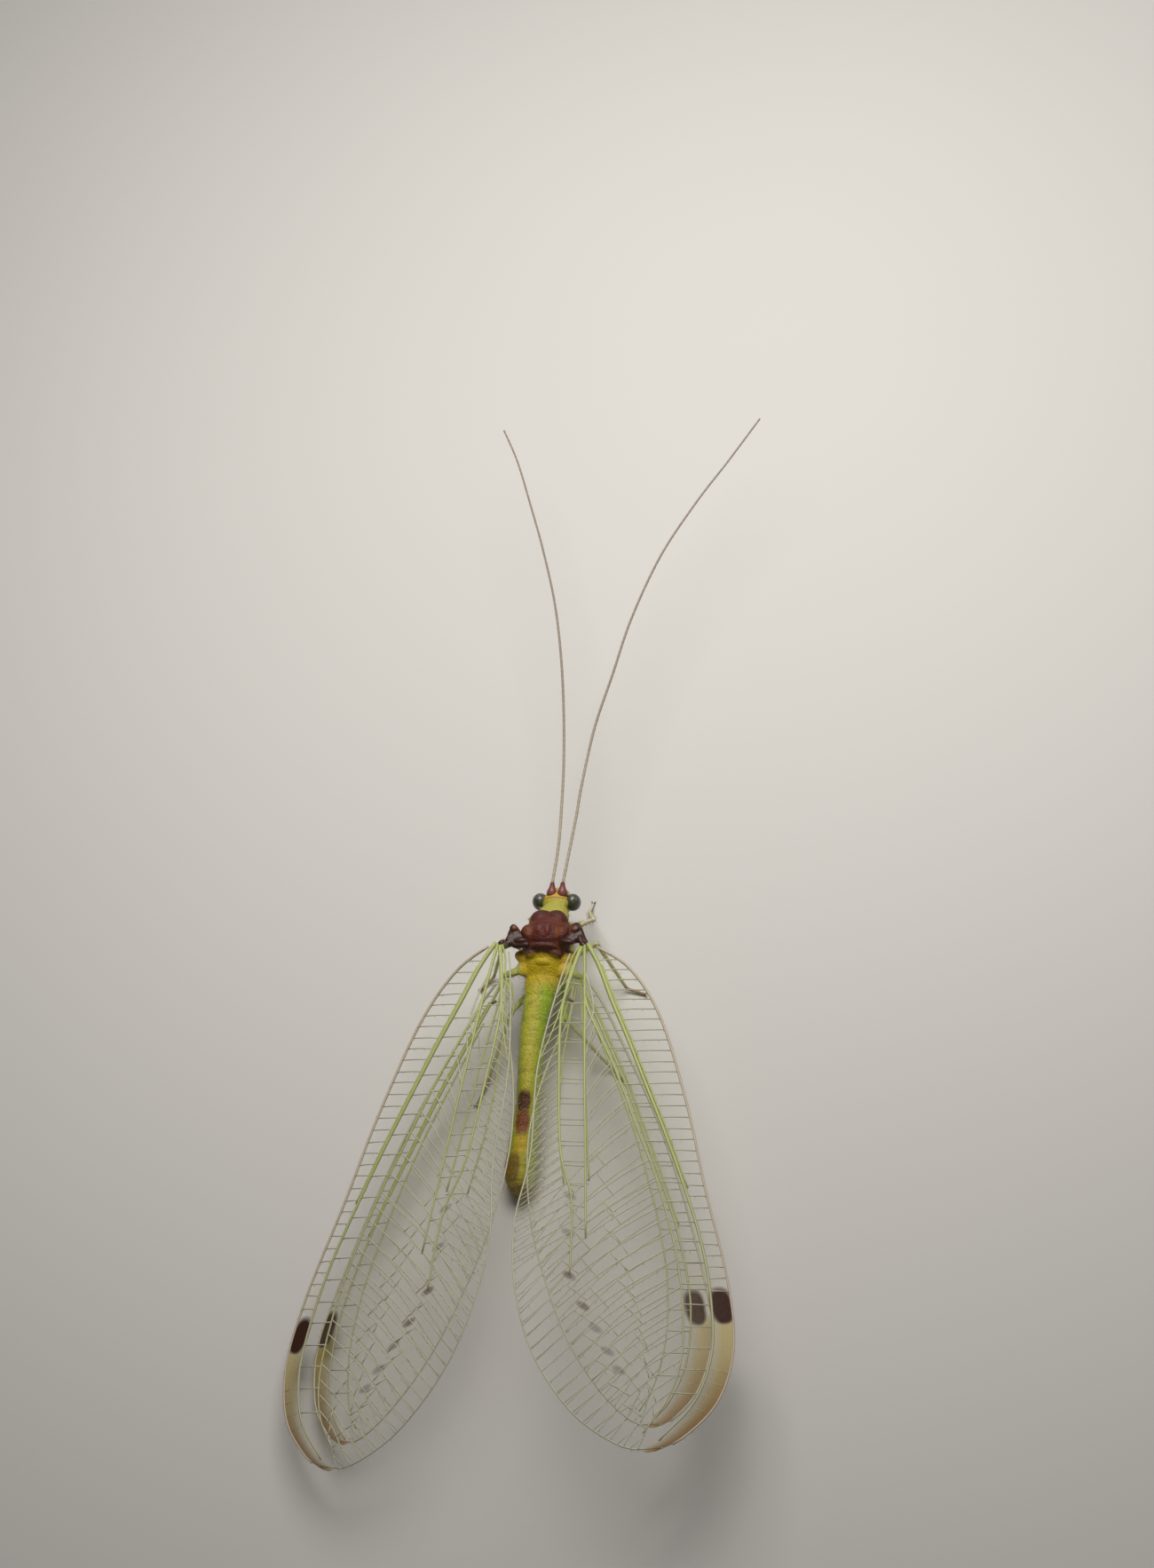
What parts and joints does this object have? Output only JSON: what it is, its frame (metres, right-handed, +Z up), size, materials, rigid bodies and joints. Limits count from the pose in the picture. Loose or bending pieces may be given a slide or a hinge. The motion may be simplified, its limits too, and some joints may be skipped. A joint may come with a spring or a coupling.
{
  "type": "green lacewing",
  "caption": "Life-size still model of a green lacewing at rest, wings folded back over the abdomen and long feelers held forward.",
  "frame": {"origin": "centre of the bounding box at the level of the soles", "axes": "+Z up, -Y towards the head and feelers, +Y towards the wing tips, -X the animal's right side"},
  "size_m": [0.0156, 0.04, 0.005],
  "materials": {
    "body": "soft pale green cuticle, satin",
    "thorax": "red-brown cuticle, satin",
    "leg": "pale green cuticle with fine hairs, satin",
    "feeler": "pale tan to grey-brown, fine rings and hairs",
    "eye": "dark olive, faceted and glossy",
    "wing": "clear thin membrane between fine green and brown veins"
  },
  "bodies": {
    "root": {"abdomen_1": "body", "abdomen_2": "body", "abdomen_3": "body", "abdomen_4": "body", "antenna_left_1": "feeler", "antenna_left_2": "feeler", "antenna_left_3": "feeler", "antenna_right_1": "feeler", "antenna_right_2": "feeler", "antenna_right_3": "feeler", "eye_left": "eye", "eye_right": "eye", "femur_fore_left": "leg", "femur_fore_right": "leg", "femur_hind_left": "leg", "femur_hind_right": "leg", "femur_mid_left": "leg", "femur_mid_right": "leg", "forewing_left": "wing", "forewing_right": "wing", "head": "body", "hindwing_left": "wing", "hindwing_right": "wing", "mesothorax": "thorax", "metathorax": "body", "mouthparts": "body", "pronotum": "body", "scape_left": "feeler", "scape_right": "feeler", "tarsus_fore_left": "leg", "tarsus_fore_right": "leg", "tarsus_hind_left": "leg", "tarsus_hind_right": "leg", "tarsus_mid_left": "leg", "tarsus_mid_right": "leg", "tibia_fore_left": "leg", "tibia_fore_right": "leg", "tibia_hind_left": "leg", "tibia_hind_right": "leg", "tibia_mid_left": "leg", "tibia_mid_right": "leg"}
  },
  "joints": []
}
